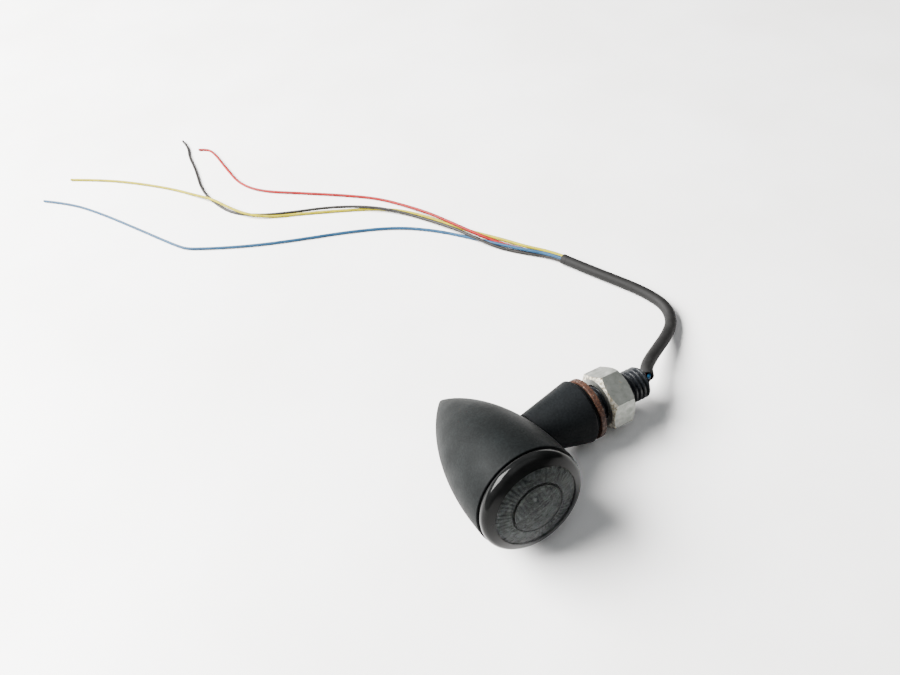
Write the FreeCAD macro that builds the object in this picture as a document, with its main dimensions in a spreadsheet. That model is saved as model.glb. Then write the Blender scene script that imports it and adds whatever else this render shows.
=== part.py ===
import FreeCAD, Part
import math
import os

import Sketcher
from FreeCAD import Placement, Rotation, Vector

# A bullet-shaped motorcycle turn signal with a hollow threaded stud, lying on a flat surface.
#
# Design frame: +X runs out along the stud, -Y points out of the lens, +Z is up, and the origin is
# where the stud's axis crosses the housing's axis. POSE then lays the whole lamp down on the
# surface z = 0, where it rests on the side of its housing and on one corner of the hexagon nut.

doc = FreeCAD.newDocument("bullet_indicator")

# ---------------------------------------------------------------- driving dimensions (mm, degrees)
DIMENSIONS = {
    "housing_radius": 15.35,      # outside, at the lens end
    "housing_length": 48.6,       # from the lens seam to the nose
    "housing_straight": 5.0,      # cylindrical stretch behind the seam
    "nose_radius": 1.5,
    "wall": 2.0,
    "cavity_length": 40.0,        # behind the seam
    "axis_to_seam": 19.7,         # stud axis to lens seam
    "lens_radius": 15.0,
    "lens_height": 6.1,           # crown of the front to seam
    "lens_dome": 34.6,            # radius of the crowned front
    "lens_rim_round": 1.9,
    "lens_wall": 1.2,
    "lens_spigot_radius": 13.3,
    "lens_spigot_bore": 12.1,
    "lens_spigot_depth": 2.0,
    "seal_thickness": 0.6,
    "seal_radius": 14.6,
    "board_radius": 13.0,
    "board_thickness": 1.2,
    "board_depth": 5.5,           # seam to the back of the board
    "post_radius": 2.4,
    "post_length": 7.0,
    "post_circle": 10.8,
    "screw_radius": 1.0,
    "screw_length": 5.0,
    "screw_head_radius": 1.8,
    "screw_head_height": 1.1,
    "reflector_flange_radius": 12.95,
    "reflector_rim_radius": 12.0,
    "reflector_front": 1.6,       # in front of the seam
    "reflector_shoulder": 2.1,    # behind the seam
    "reflector_throat": 9.0,
    "reflector_mouth": 11.4,
    "arm_root": 10.5,             # distances along the stud axis
    "arm_root_radius": 5.45,
    "arm_end": 29.8,
    "arm_end_radius": 9.58,
    "arm_chamfer": 0.5,
    "arm_face_radius": 9.15,
    "arm_spigot": 1.2,
    "arm_spigot_radius": 8.3,
    "bore_clearance": 0.05,
    "stud_radius": 5.0,           # M10 thread, major radius
    "stud_bore": 2.9,
    "stud_end": 52.9,
    "stud_chamfer": 0.7,
    "flange_radius": 6.0,
    "flange_back": 8.3,
    "flange_seat": 9.8,
    "washer_seat": 31.6,
    "washer_thickness": 1.6,
    "washer_radius": 9.2,
    "washer_bore": 5.35,
    "washer_drop": 0.3,           # the loose washer hangs on the thread
    "nut_seat": 36.6,
    "nut_height": 8.0,
    "nut_flats": 16.0,
    "nut_face_radius": 7.3,
    "nut_clearance": 0.08,
    "nut_turn": 7.5,              # the nut's corners, turned from straight up and down
    "plug_front": 1.0,            # wire seal below the stud's end
    "plug_length": 4.0,
    "wire_diameter": 1.1,
    "wire_spread": 0.6,           # half the pitch of the four wires in their square
    "sleeve_diameter": 3.8,
    "lens_lift": 13.0,            # the lens looks this much upward
    "stud_dip": 5.5,              # the stud's tip points this much downward
}

sheet = doc.addObject("Spreadsheet::Sheet", "sizes")
for row, (alias, number) in enumerate(DIMENSIONS.items(), start=1):
    sheet.set(f"A{row}", alias)
    sheet.set(f"B{row}", str(number))
    sheet.setAlias(f"B{row}", alias)
doc.recompute()

ALONG_X = Rotation(Vector(0, 1, 0), 90)
ALONG_Y = Rotation(Vector(1, 0, 0), -90)
UPRIGHT = Rotation()


def size(alias):
    """A driving dimension, read from the sheet."""
    return sheet.get(alias)


def value(expression):
    """The number that an expression over the sheet gives."""
    return float(sheet.evalExpression(expression))


def primitive(kind, name, turn, at, **dims):
    """A Part primitive whose place and sizes are bound to the sheet."""
    item = doc.addObject("Part::" + kind, name)
    item.Placement = Placement(Vector(), turn)
    for axis, expression in zip("xyz", at):
        item.setExpression(".Placement.Base." + axis, expression)
    for dim, expression in dims.items():
        item.setExpression(dim, expression)
    return item


def rod(name, start, end, radius, y="0", z="0"):
    """A cylinder along the stud axis."""
    return primitive("Cylinder", name, ALONG_X, (start, y, z), Radius=radius, Height=f"{end} - ({start})")


def disc(name, back, front, radius, x="0", z="0"):
    """A cylinder along the housing's axis, from y = back to y = front."""
    return primitive("Cylinder", name, ALONG_Y, (x, back, z), Radius=radius, Height=f"{front} - ({back})")


def cone(name, turn, at, first, second, height):
    return primitive("Cone", name, turn, at, Radius1=first, Radius2=second, Height=height)


def fuse(name, items):
    result = doc.addObject("Part::MultiFuse", name)
    result.Shapes = items
    return result


def common(name, items):
    result = doc.addObject("Part::MultiCommon", name)
    result.Shapes = items
    return result


def cut(name, base, tool):
    result = doc.addObject("Part::Cut", name)
    result.Base = base
    result.Tool = tool
    return result


# ---------------------------------------------------------------- turned shapes, from sketches
def new_turned_body(name):
    """A body and an empty sketch for half of its section: sketch x is the radius, y the axis."""
    body = doc.addObject("PartDesign::Body", name)
    sketch = body.newObject("Sketcher::SketchObject", name + "_section")
    plane = next(f for f in body.Origin.OriginFeatures if f.Role == "XY_Plane")
    sketch.AttachmentSupport = (plane, [""])
    sketch.MapMode = "FlatFace"
    return body, sketch


def turn_section(body, sketch):
    """Revolve the section about the sketch's vertical axis."""
    doc.recompute()
    feature = body.newObject("PartDesign::Revolution", body.Name + "_turned")
    feature.Profile = sketch
    feature.ReferenceAxis = (sketch, ["V_Axis"])
    feature.Angle = 360
    sketch.Visibility = False
    doc.recompute()
    return body


def bind_distance(sketch, kind, geometry, point, expression):
    """Hold a point at a distance from the sketch's origin; a distance of 0 holds it on the axis."""
    distance = value(expression)
    if abs(distance) < 1e-9:
        axis = -2 if kind == "DistanceX" else -1
        sketch.addConstraint(Sketcher.Constraint("PointOnObject", geometry, point, axis))
        return
    held = sketch.addConstraint(Sketcher.Constraint(kind, -1, 1, geometry, point, distance))
    sketch.setExpression(f"Constraints[{held}]", expression)


CROWN = "-(sizes.axis_to_seam + sizes.lens_height)"   # y of the middle of the lens's front
SEAM = "-sizes.axis_to_seam"
SHOULDER = "(sizes.housing_straight - sizes.axis_to_seam)"   # where the long arc starts
CAVITY_END = "(sizes.cavity_length - sizes.axis_to_seam)"
NOSE_TIP = "(sizes.housing_length - sizes.axis_to_seam)"
BOARD_BACK = "(sizes.board_depth - sizes.axis_to_seam)"
BOARD_FRONT = "(sizes.board_depth - sizes.axis_to_seam - sizes.board_thickness)"


def bullet(name, inset, end):
    """The housing's outline, moved inward by inset: a straight stretch, a long arc, and the nose.

    end "nose" closes the shape with the rounded nose, "flat" with a flat bottom at the cavity's depth.
    """
    body, sketch = new_turned_body(name)
    radius = size("housing_radius")
    nose = size("nose_radius")
    reach = size("housing_length") - nose - size("housing_straight")
    ogive = (radius ** 2 - nose ** 2 + reach ** 2) / (2 * (radius - nose))
    side = radius - inset
    mouth = value(SEAM)
    shoulder = value(SHOULDER)
    centre = Vector(radius - ogive, shoulder, 0)
    sweep = math.atan2(reach, ogive - radius)
    if end == "flat":
        sweep = math.asin((value(CAVITY_END) - shoulder) / (ogive - inset))
    arc_end = centre + (ogive - inset) * Vector(math.cos(sweep), math.sin(sweep), 0)

    sketch.addGeometry(Part.LineSegment(Vector(0, mouth, 0), Vector(side, mouth, 0)))
    sketch.addGeometry(Part.LineSegment(Vector(side, mouth, 0), Vector(side, shoulder, 0)))
    circle = Part.Circle(centre, Vector(0, 0, 1), ogive - inset)
    sketch.addGeometry(Part.ArcOfCircle(circle, 0, sweep))
    if end == "nose":
        tip = Vector(0, value(NOSE_TIP), 0)
        ball = Part.Circle(Vector(0, tip.y - nose, 0), Vector(0, 0, 1), nose)
        sketch.addGeometry(Part.ArcOfCircle(ball, sweep, math.pi / 2))
    else:
        tip = Vector(0, arc_end.y, 0)
        sketch.addGeometry(Part.LineSegment(arc_end, tip))
    sketch.addGeometry(Part.LineSegment(tip, Vector(0, mouth, 0)))

    for first in range(4):
        if first in (1, 2) and not (first == 2 and end == "flat"):
            sketch.addConstraint(Sketcher.Constraint("Tangent", first, 2, first + 1, 1))
        else:
            sketch.addConstraint(Sketcher.Constraint("Coincident", first, 2, first + 1, 1))
    sketch.addConstraint(Sketcher.Constraint("Coincident", 4, 2, 0, 1))
    sketch.addConstraint(Sketcher.Constraint("PointOnObject", 0, 1, -2))
    sketch.addConstraint(Sketcher.Constraint("Horizontal", 0))
    sketch.addConstraint(Sketcher.Constraint("Vertical", 1))
    sketch.addConstraint(Sketcher.Constraint("Vertical", 4))
    bind_distance(sketch, "DistanceX", 1, 1, f"sizes.housing_radius - {inset}")
    bind_distance(sketch, "DistanceY", 0, 1, SEAM)
    bind_distance(sketch, "DistanceY", 1, 2, SHOULDER)
    if end == "nose":
        held = sketch.addConstraint(Sketcher.Constraint("Radius", 3, nose))
        sketch.setExpression(f"Constraints[{held}]", "sizes.nose_radius")
        sketch.addConstraint(Sketcher.Constraint("PointOnObject", 3, 3, -2))
        bind_distance(sketch, "DistanceY", 3, 2, NOSE_TIP)
    else:
        sketch.addConstraint(Sketcher.Constraint("Horizontal", 3))
        sketch.addConstraint(Sketcher.Constraint("Radius", 2, ogive - inset))
        bind_distance(sketch, "DistanceY", 3, 2, CAVITY_END)
    return turn_section(body, sketch)


# ---------------------------------------------------------------- housing and what it holds
POST_ANGLES = (90, 210, 330)


def post_place(angle):
    """x and z of a board post, as expressions."""
    x = f"sizes.post_circle * cos({angle} deg)"
    z = f"sizes.post_circle * sin({angle} deg)"
    return x, z


def make_housing(envelope):
    cavity = bullet("housing_cavity", size("wall"), "flat")
    kept = [rod("stud_pad", "sizes.flange_seat", "sizes.housing_radius", "sizes.flange_radius + 0.5")]
    holes = [rod("stud_hole", "sizes.flange_back", "sizes.arm_end", "sizes.stud_radius + sizes.bore_clearance")]
    for count, angle in enumerate(POST_ANGLES, start=1):
        x, z = post_place(angle)
        top = f"{BOARD_BACK} + sizes.post_length"
        kept.append(disc(f"post_{count}", BOARD_BACK, top, "sizes.post_radius", x, z))
        deep = f"{BOARD_BACK} + sizes.screw_length"
        holes.append(disc(f"post_hole_{count}", BOARD_BACK, deep, "sizes.screw_radius", x, z))
    core = cut("housing_core", cavity, fuse("housing_kept", kept))
    return cut("housing", envelope, fuse("housing_removed", [core] + holes))


def make_lens():
    """The cap: a crowned front with a rounded rim, a short side, and a spigot that enters the housing."""
    body, sketch = new_turned_body("lens")
    back = f"{SEAM} - sizes.seal_thickness"
    tail = f"{SEAM} + sizes.lens_spigot_depth"
    side = size("lens_radius")
    rounding = size("lens_rim_round")
    dome = size("lens_dome")
    inner_dome = dome - size("lens_wall")
    outer_spigot = size("lens_spigot_radius")
    inner_spigot = size("lens_spigot_bore")
    centre = Vector(0, value(CROWN) + dome, 0)
    rim_depth = math.sqrt((dome - rounding) ** 2 - (side - rounding) ** 2)
    rim_centre = centre + Vector(side - rounding, -rim_depth, 0)
    sweep = math.asin((side - rounding) / (dome - rounding))
    inner_sweep = math.asin(inner_spigot / inner_dome)
    down = -math.pi / 2
    inside = centre + inner_dome * Vector(math.sin(inner_sweep), -math.cos(inner_sweep), 0)
    inner_crown = centre - Vector(0, inner_dome, 0)
    corners = [
        Vector(side, rim_centre.y, 0),
        Vector(side, value(back), 0),
        Vector(outer_spigot, value(back), 0),
        Vector(outer_spigot, value(tail), 0),
        Vector(inner_spigot, value(tail), 0),
        inside,
    ]
    axis = Vector(0, 0, 1)
    sketch.addGeometry(Part.ArcOfCircle(Part.Circle(centre, axis, dome), down, down + sweep))
    sketch.addGeometry(Part.ArcOfCircle(Part.Circle(rim_centre, axis, rounding), down + sweep, 0))
    for first, second in zip(corners, corners[1:]):
        sketch.addGeometry(Part.LineSegment(first, second))
    sketch.addGeometry(Part.ArcOfCircle(Part.Circle(centre, axis, inner_dome), down, down + inner_sweep))
    sketch.addGeometry(Part.LineSegment(inner_crown, Vector(0, value(CROWN), 0)))

    sketch.addConstraint(Sketcher.Constraint("Tangent", 0, 2, 1, 1))
    sketch.addConstraint(Sketcher.Constraint("Tangent", 1, 2, 2, 1))
    for line in range(2, 6):
        sketch.addConstraint(Sketcher.Constraint("Coincident", line, 2, line + 1, 1))
    sketch.addConstraint(Sketcher.Constraint("Coincident", 6, 2, 7, 2))
    sketch.addConstraint(Sketcher.Constraint("Coincident", 7, 1, 8, 1))
    sketch.addConstraint(Sketcher.Constraint("Coincident", 8, 2, 0, 1))
    sketch.addConstraint(Sketcher.Constraint("Coincident", 0, 3, 7, 3))
    for line in (2, 4, 6, 8):
        sketch.addConstraint(Sketcher.Constraint("Vertical", line))
    for line in (3, 5):
        sketch.addConstraint(Sketcher.Constraint("Horizontal", line))
    sketch.addConstraint(Sketcher.Constraint("PointOnObject", 0, 1, -2))
    sketch.addConstraint(Sketcher.Constraint("PointOnObject", 0, 3, -2))
    radii = [(0, dome, "sizes.lens_dome"), (1, rounding, "sizes.lens_rim_round"),
             (7, inner_dome, "sizes.lens_dome - sizes.lens_wall")]
    for arc, radius, expression in radii:
        held = sketch.addConstraint(Sketcher.Constraint("Radius", arc, radius))
        sketch.setExpression(f"Constraints[{held}]", expression)
    bind_distance(sketch, "DistanceY", 0, 1, CROWN)
    bind_distance(sketch, "DistanceX", 2, 1, "sizes.lens_radius")
    bind_distance(sketch, "DistanceY", 2, 2, back)
    bind_distance(sketch, "DistanceX", 4, 1, "sizes.lens_spigot_radius")
    bind_distance(sketch, "DistanceY", 4, 2, tail)
    bind_distance(sketch, "DistanceX", 6, 1, "sizes.lens_spigot_bore")
    return turn_section(body, sketch)


def make_seal():
    front = f"{SEAM} - sizes.seal_thickness"
    ring = disc("seal_ring", front, SEAM, "sizes.seal_radius")
    return cut("lens_seal", ring, disc("seal_bore", front, SEAM, "sizes.lens_spigot_radius"))


def make_board():
    plate = disc("board_plate", BOARD_FRONT, BOARD_BACK, "sizes.board_radius")
    holes = []
    for count, angle in enumerate(POST_ANGLES, start=1):
        x, z = post_place(angle)
        holes.append(disc(f"board_hole_{count}", BOARD_FRONT, BOARD_BACK, "sizes.screw_radius + 0.1", x, z))
    return cut("led_board", plate, fuse("board_holes", holes))


def make_screws():
    pieces = []
    for count, angle in enumerate(POST_ANGLES, start=1):
        x, z = post_place(angle)
        head = f"{BOARD_FRONT} - sizes.screw_head_height"
        tip = f"{BOARD_BACK} + sizes.screw_length"
        pieces.append(disc(f"screw_shank_{count}", BOARD_FRONT, tip, "sizes.screw_radius", x, z))
        pieces.append(disc(f"screw_head_{count}", head, BOARD_FRONT, "sizes.screw_head_radius", x, z))
    return fuse("board_screws", pieces)


def make_reflector():
    front = f"({SEAM} - sizes.reflector_front)"
    shoulder = f"({SEAM} + sizes.reflector_shoulder)"
    body = fuse("reflector_solid", [
        disc("reflector_rim", front, shoulder, "sizes.reflector_rim_radius"),
        disc("reflector_flange", shoulder, BOARD_FRONT, "sizes.reflector_flange_radius"),
    ])
    bowl = cone("reflector_bowl", ALONG_Y, ("0", front, "0"), "sizes.reflector_mouth",
                "sizes.reflector_throat", f"{BOARD_FRONT} - {front}")
    removed = [bowl]
    for count, angle in enumerate(POST_ANGLES, start=1):
        x, z = post_place(angle)
        pocket = f"{BOARD_FRONT} - sizes.screw_head_height - 0.2"
        removed.append(disc(f"head_pocket_{count}", pocket, BOARD_FRONT, "sizes.screw_head_radius + 0.2", x, z))
    return cut("reflector", body, fuse("reflector_removed", removed))


def chip(name, centre, extent, behind=False):
    """A rectangular component standing on the board's front or back; centre is (x, z)."""
    width, thickness, depth = extent
    face = BOARD_BACK if behind else f"{BOARD_FRONT} - {thickness}"
    at = (f"{centre[0] - width / 2}", face, f"{centre[1] - depth / 2}")
    return primitive("Box", name, UPRIGHT, at, Length=f"{width}", Width=f"{thickness}", Height=f"{depth}")


def ring_of_chips(name, count, circle, extent):
    chips = []
    for number in range(count):
        angle = 2 * math.pi * (number + 0.5) / count
        centre = (circle * math.cos(angle), circle * math.sin(angle))
        chips.append(chip(f"{name}_{number + 1}", centre, extent))
    return fuse(name, chips)


def make_electronics():
    """LEDs on the front of the board, the driver and its parts on the back."""
    amber = ring_of_chips("amber_leds", 6, 6.2, (2.8, 0.9, 2.8))
    running = ring_of_chips("running_leds", 3, 2.2, (2.0, 0.8, 1.6))
    resistors = fuse("resistors", [
        chip(f"resistor_{number + 1}", (-7.0 + 2.4 * number, 6.0), (1.6, 0.6, 3.2), behind=True)
        for number in range(3)
    ])
    pins = [
        chip(f"driver_pins_{number + 1}", (-6.9 + 1.27 * number, -0.5), (0.4, 0.4, 6.0), behind=True)
        for number in range(4)
    ]
    driver = fuse("driver_chip", [chip("driver_case", (-5.0, -0.5), (4.9, 1.6, 3.9), behind=True)] + pins)
    diode = fuse("polarity_diode", [
        chip("diode_case", (-2.5, -6.5), (4.3, 2.0, 2.6), behind=True),
        chip("diode_tabs", (-2.5, -6.5), (5.4, 0.3, 1.5), behind=True),
    ])
    return [amber, running, resistors, driver, diode]


# ---------------------------------------------------------------- arm, stud, washer and nut
ARM_FACE = "(sizes.arm_end + sizes.arm_chamfer)"


def make_arm(envelope):
    taper = cone("arm_taper", ALONG_X, ("sizes.arm_root", "0", "0"), "sizes.arm_root_radius",
                 "sizes.arm_end_radius", "sizes.arm_end - sizes.arm_root")
    chamfer = cone("arm_edge", ALONG_X, ("sizes.arm_end", "0", "0"), "sizes.arm_end_radius",
                   "sizes.arm_face_radius", "sizes.arm_chamfer")
    spigot = rod("arm_spigot_solid", ARM_FACE, f"{ARM_FACE} + sizes.arm_spigot", "sizes.arm_spigot_radius")
    bore = rod("arm_bore", "0", "sizes.washer_seat", "sizes.stud_radius + sizes.bore_clearance")
    return cut("arm", fuse("arm_solid", [taper, chamfer, spigot]), fuse("arm_removed", [envelope, bore]))


def make_stud():
    shank_end = "(sizes.stud_end - sizes.stud_chamfer)"
    solid = fuse("stud_solid", [
        rod("stud_flange", "sizes.flange_back", "sizes.flange_seat", "sizes.flange_radius"),
        rod("stud_shank", "sizes.flange_seat", shank_end, "sizes.stud_radius"),
        cone("stud_tip", ALONG_X, (shank_end, "0", "0"), "sizes.stud_radius",
             "sizes.stud_radius - sizes.stud_chamfer", "sizes.stud_chamfer"),
    ])
    return cut("threaded_stud", solid, rod("stud_bore_cut", "sizes.flange_back", "sizes.stud_end", "sizes.stud_bore"))


def make_washer():
    end = "sizes.washer_seat + sizes.washer_thickness"
    low = "-sizes.washer_drop"
    ring = rod("washer_disc", "sizes.washer_seat", end, "sizes.washer_radius", z=low)
    return cut("washer", ring, rod("washer_hole", "sizes.washer_seat", end, "sizes.washer_bore", z=low))


def make_nut():
    """An M10 hexagon nut, chamfered at 30 degrees on both faces."""
    end = "(sizes.nut_seat + sizes.nut_height)"
    hexagon = primitive("Prism", "nut_hexagon", UPRIGHT, ("sizes.nut_seat", "0", "0"),
                        Circumradius="sizes.nut_flats / sqrt(3)", Height="sizes.nut_height")
    hexagon.Polygon = 6
    # the prism's first corner points straight down before this turn about the stud
    hexagon.Placement.Rotation = Rotation(Vector(1, 0, 0), size("nut_turn")) * ALONG_X
    wide = "sizes.nut_face_radius + sizes.nut_height * tan(60 deg)"
    opening = cone("nut_near_chamfer", ALONG_X, ("sizes.nut_seat", "0", "0"), "sizes.nut_face_radius",
                   wide, "sizes.nut_height")
    closing = cone("nut_far_chamfer", ALONG_X, ("sizes.nut_seat", "0", "0"), wide,
                   "sizes.nut_face_radius", "sizes.nut_height")
    bore = rod("nut_bore", "sizes.nut_seat", end, "sizes.stud_radius + sizes.nut_clearance")
    return cut("hex_nut", common("nut_blank", [hexagon, opening, closing]), bore)


# ---------------------------------------------------------------- resting pose
def resting_rotation():
    """Turn about the stud for the lens's lift, then about Y for the stud's dip."""
    return Rotation(Vector(0, 1, 0), size("stud_dip")) * Rotation(Vector(1, 0, 0), -size("lens_lift"))


def resting_place(parts):
    """The pose that puts the parts' box on z = 0, centred on the origin."""
    turn = resting_rotation()
    box = FreeCAD.BoundBox()
    for part in parts:
        shape = part.Shape.copy()
        shape.Placement = Placement(Vector(), turn) * shape.Placement
        box.add(shape.optimalBoundingBox(False, False))
    centre = box.Center
    return Placement(Vector(-centre.x, -centre.y, -box.ZMin), turn)


# ---------------------------------------------------------------- sleeve and wires
def rounded_path(points):
    """Straight runs joined by tangent arcs, each as large as 0.45 of its shorter run allows."""
    edges = []
    radii = []
    start = points[0]
    for before, corner, after in zip(points, points[1:], points[2:]):
        incoming = (corner - before).normalize()
        outgoing = (after - corner).normalize()
        half_turn = incoming.getAngle(outgoing) / 2
        reach = 0.45 * min((corner - before).Length, (after - corner).Length)
        radius = reach / math.tan(half_turn)
        first = corner - incoming * reach
        last = corner + outgoing * reach
        bisector = (outgoing - incoming).normalize()
        middle = corner + bisector * (radius / math.cos(half_turn) - radius)
        edges.append(Part.LineSegment(start, first).toShape())
        edges.append(Part.Arc(first, middle, last).toShape())
        radii.append(radius)
        start = last
    edges.append(Part.LineSegment(start, points[-1]).toShape())
    return Part.Wire(edges), radii


def tube(name, points, diameter):
    """A plain round tube along a route; its volume is checked against its section and length."""
    path, radii = rounded_path(points)
    heading = points[1] - points[0]
    ring = Part.Wire(Part.Circle(points[0], heading, diameter / 2).toShape())
    solid = path.makePipeShell([ring], True, False)
    expected = math.pi * diameter ** 2 / 4 * path.Length
    print(f"{name}: length {path.Length:.1f}, least radius {min(radii):.1f}, "
          f"volume {solid.Volume:.2f} for {expected:.2f}, radii {[round(r, 1) for r in radii]}")
    item = doc.addObject("Part::Feature", name)
    item.Shape = solid
    return item


# Routes are in the finished frame: the surface is z = 0.
SLEEVE_ROUTE = [
    (36.7, 0.0, 8.4), (37.9, 1.9, 8.2), (41.6, 4.6, 7.2), (47.5, 7.9, 5.5), (55.0, 12.0, 3.3),
    (61.3, 16.7, 1.9), (64.3, 23.6, 1.9), (62.8, 32.1, 1.9), (59.8, 39.9, 1.9), (54.7, 51.4, 1.9),
    (50.1, 62.7, 1.9),
]
WIRE_ROUTES = {
    "yellow": [
        (50.7, 62.9, 2.5), (48.7, 67.8, 2.3), (42.9, 76.5, 1.9), (38.6, 85.8, 1.1), (32.8, 95.7, 0.6),
        (28.1, 103.7, 0.6), (23.9, 112.5, 0.6), (15.9, 125.9, 0.6), (5.4, 135.1, 0.6), (-8.1, 143.3, 0.6),
        (-20.1, 150.3, 0.6), (-30.6, 155.7, 0.7), (-38.6, 162.1, 1.8), (-43.7, 171.5, 2.0),
        (-47.8, 181.9, 2.0), (-53.1, 191.1, 1.0), (-60.6, 203.1, 0.6), (-72.6, 217.6, 0.6),
        (-86.1, 231.4, 0.6), (-98.9, 241.5, 0.6),
    ],
    "blue": [
        (49.5, 62.5, 2.5), (47.5, 67.3, 2.3), (41.2, 75.7, 1.9), (36.1, 83.7, 1.4), (29.7, 94.3, 0.6),
        (20.9, 106.3, 0.6), (9.4, 117.5, 0.6), (-7.1, 126.7, 0.6), (-25.6, 134.7, 0.6),
        (-40.1, 141.5, 0.6), (-51.7, 148.1, 0.6), (-60.7, 153.9, 0.6), (-66.5, 158.1, 0.6),
        (-69.4, 162.5, 0.6), (-73.5, 170.1, 0.6), (-80.3, 183.3, 0.6), (-92.1, 205.7, 0.6),
        (-102.6, 222.4, 0.6), (-112.7, 232.4, 0.6),
    ],
    "black": [
        (49.5, 62.5, 1.3), (47.5, 67.3, 1.1), (40.1, 75.2, 0.6), (34.1, 83.4, 0.9), (29.7, 93.5, 2.0),
        (26.3, 102.3, 1.9), (22.3, 111.7, 0.9), (14.9, 124.5, 1.0), (5.5, 134.9, 1.9), (-8.3, 145.5, 1.9),
        (-22.1, 153.7, 1.9), (-34.1, 160.3, 0.8), (-43.7, 168.9, 0.6), (-47.9, 181.1, 0.6),
        (-49.7, 194.1, 0.6), (-47.4, 210.6, 0.6), (-47.0, 223.1, 0.6), (-45.0, 231.1, 0.6),
        (-45.8, 238.1, 0.6),
    ],
    "red": [
        (50.7, 62.9, 1.3), (48.7, 67.7, 1.1), (42.5, 76.1, 0.6), (37.1, 84.7, 0.6), (31.5, 94.9, 1.8),
        (27.5, 105.1, 1.9), (23.1, 116.1, 1.9), (18.3, 127.3, 0.8), (10.9, 139.5, 0.6), (-0.1, 150.6, 0.6),
        (-14.4, 163.5, 0.6), (-28.1, 175.6, 0.6), (-34.1, 187.1, 0.6), (-35.3, 200.6, 0.6),
        (-35.9, 212.1, 0.6), (-36.6, 219.6, 0.6), (-38.2, 223.5, 0.6), (-41.5, 225.7, 0.6),
    ],
}
# Each wire's corner of the square that the four wires make in the stud: across, and up.
WIRE_CORNERS = {"red": (1, 1), "blue": (-1, 1), "black": (-1, -1), "yellow": (1, -1)}


def make_leads(pose):
    """The wires' inner stretch: board, stud bore, and out into the mouth of the sleeve."""
    mouth = Vector(*SLEEVE_ROUTE[0])
    heading = (Vector(*SLEEVE_ROUTE[1]) - mouth).normalize()
    across = Vector(0, 0, 1).cross(heading).normalize()
    up = heading.cross(across)
    leads = []
    for colour, (side, level) in WIRE_CORNERS.items():
        y = side * size("wire_spread")
        z = level * size("wire_spread")
        pad_x = 2.0 - y
        inside = [Vector(pad_x, value(BOARD_BACK), z), Vector(pad_x, y, z)]
        route = [pose.multVec(point) for point in inside]
        end = mouth + across * y + up * z
        bend = end - heading * 1.7
        axis = pose.Rotation.multVec(Vector(1, 0, 0))
        entry = pose.multVec(Vector(0, y, z))
        # the bend sits where the run along the bore meets the run into the sleeve
        route.append(entry + axis * (bend - entry).dot(axis))
        route.append(end)
        leads.append(tube(f"lead_{colour}", route, size("wire_diameter")))
    return leads


def make_plug():
    """The rubber seal in the stud's end that the four wires pass through."""
    end = "(sizes.stud_end - sizes.plug_front)"
    start = f"({end} - sizes.plug_length)"
    body = rod("plug_body", start, end, "sizes.stud_bore")
    holes = []
    for colour, (side, level) in WIRE_CORNERS.items():
        y = f"{side} * sizes.wire_spread"
        z = f"{level} * sizes.wire_spread"
        holes.append(rod(f"plug_hole_{colour}", start, end, "sizes.wire_diameter / 2", y, z))
    return cut("wire_seal", body, fuse("plug_holes", holes))


def make_free_wires():
    sleeve = tube("cable_sleeve", [Vector(*p) for p in SLEEVE_ROUTE], size("sleeve_diameter"))
    wires = []
    for colour, route in WIRE_ROUTES.items():
        wires.append(tube(f"wire_{colour}", [Vector(*p) for p in route], size("wire_diameter")))
    return [sleeve] + wires


# ---------------------------------------------------------------- the whole lamp
housing_envelope = bullet("housing_envelope", 0, "nose")
doc.recompute()
lamp = [
    make_housing(housing_envelope),
    make_lens(),
    make_seal(),
    make_reflector(),
    make_board(),
    make_screws(),
    *make_electronics(),
    make_arm(housing_envelope),
    make_stud(),
    make_washer(),
    make_nut(),
    make_plug(),
]
doc.recompute()

pose = resting_place(lamp)
for part in lamp:
    part.Placement = pose
lamp += make_leads(pose)
lamp += make_free_wires()
doc.recompute()

for item in doc.Objects:
    if "Invalid" in item.State or "Error" in item.State:
        raise RuntimeError(f"{item.Name} did not recompute: {item.State}")
os.makedirs("parts", exist_ok=True)
for part in lamp:
    if part.Shape.isNull() or not part.Shape.isValid():
        raise RuntimeError(f"{part.Label} has no valid shape")
    part.Shape.exportStep(f"parts/{part.Label}.step")

print("pose", pose)
print("nodes", len(lamp))
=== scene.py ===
import math

import bmesh
import bpy
from mathutils import Matrix, Vector, noise


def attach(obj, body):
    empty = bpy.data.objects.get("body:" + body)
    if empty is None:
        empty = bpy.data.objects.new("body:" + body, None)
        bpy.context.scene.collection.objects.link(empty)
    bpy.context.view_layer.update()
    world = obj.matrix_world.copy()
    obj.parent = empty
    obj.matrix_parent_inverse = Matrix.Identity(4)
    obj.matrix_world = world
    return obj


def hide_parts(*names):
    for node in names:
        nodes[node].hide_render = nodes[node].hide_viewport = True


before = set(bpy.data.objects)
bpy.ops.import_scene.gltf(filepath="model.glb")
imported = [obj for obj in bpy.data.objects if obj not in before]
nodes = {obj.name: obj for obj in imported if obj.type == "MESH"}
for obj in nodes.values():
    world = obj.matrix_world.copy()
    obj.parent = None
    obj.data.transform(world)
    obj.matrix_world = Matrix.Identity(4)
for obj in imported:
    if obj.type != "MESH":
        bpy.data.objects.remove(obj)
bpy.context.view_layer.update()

MM = 0.001

# The lamp is drawn in its design frame, in mm, and set down on the floor by POSE: +X runs out along
# the stud, -Y out of the lens, and the origin is where the two axes cross.
REST_PLACE = (-0.0190111, -0.0010861, 0.0135073)    # the design origin at rest, m
STUD_DOWN = math.radians(5.5)                       # the stud dips until the nut's corner touches
LENS_UP = math.radians(-13.0)                       # the lens looks a little upwards
POSE = (
    Matrix.Translation(REST_PLACE)
    @ Matrix.Rotation(STUD_DOWN, 4, "Y")
    @ Matrix.Rotation(LENS_UP, 4, "X")
)

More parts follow.
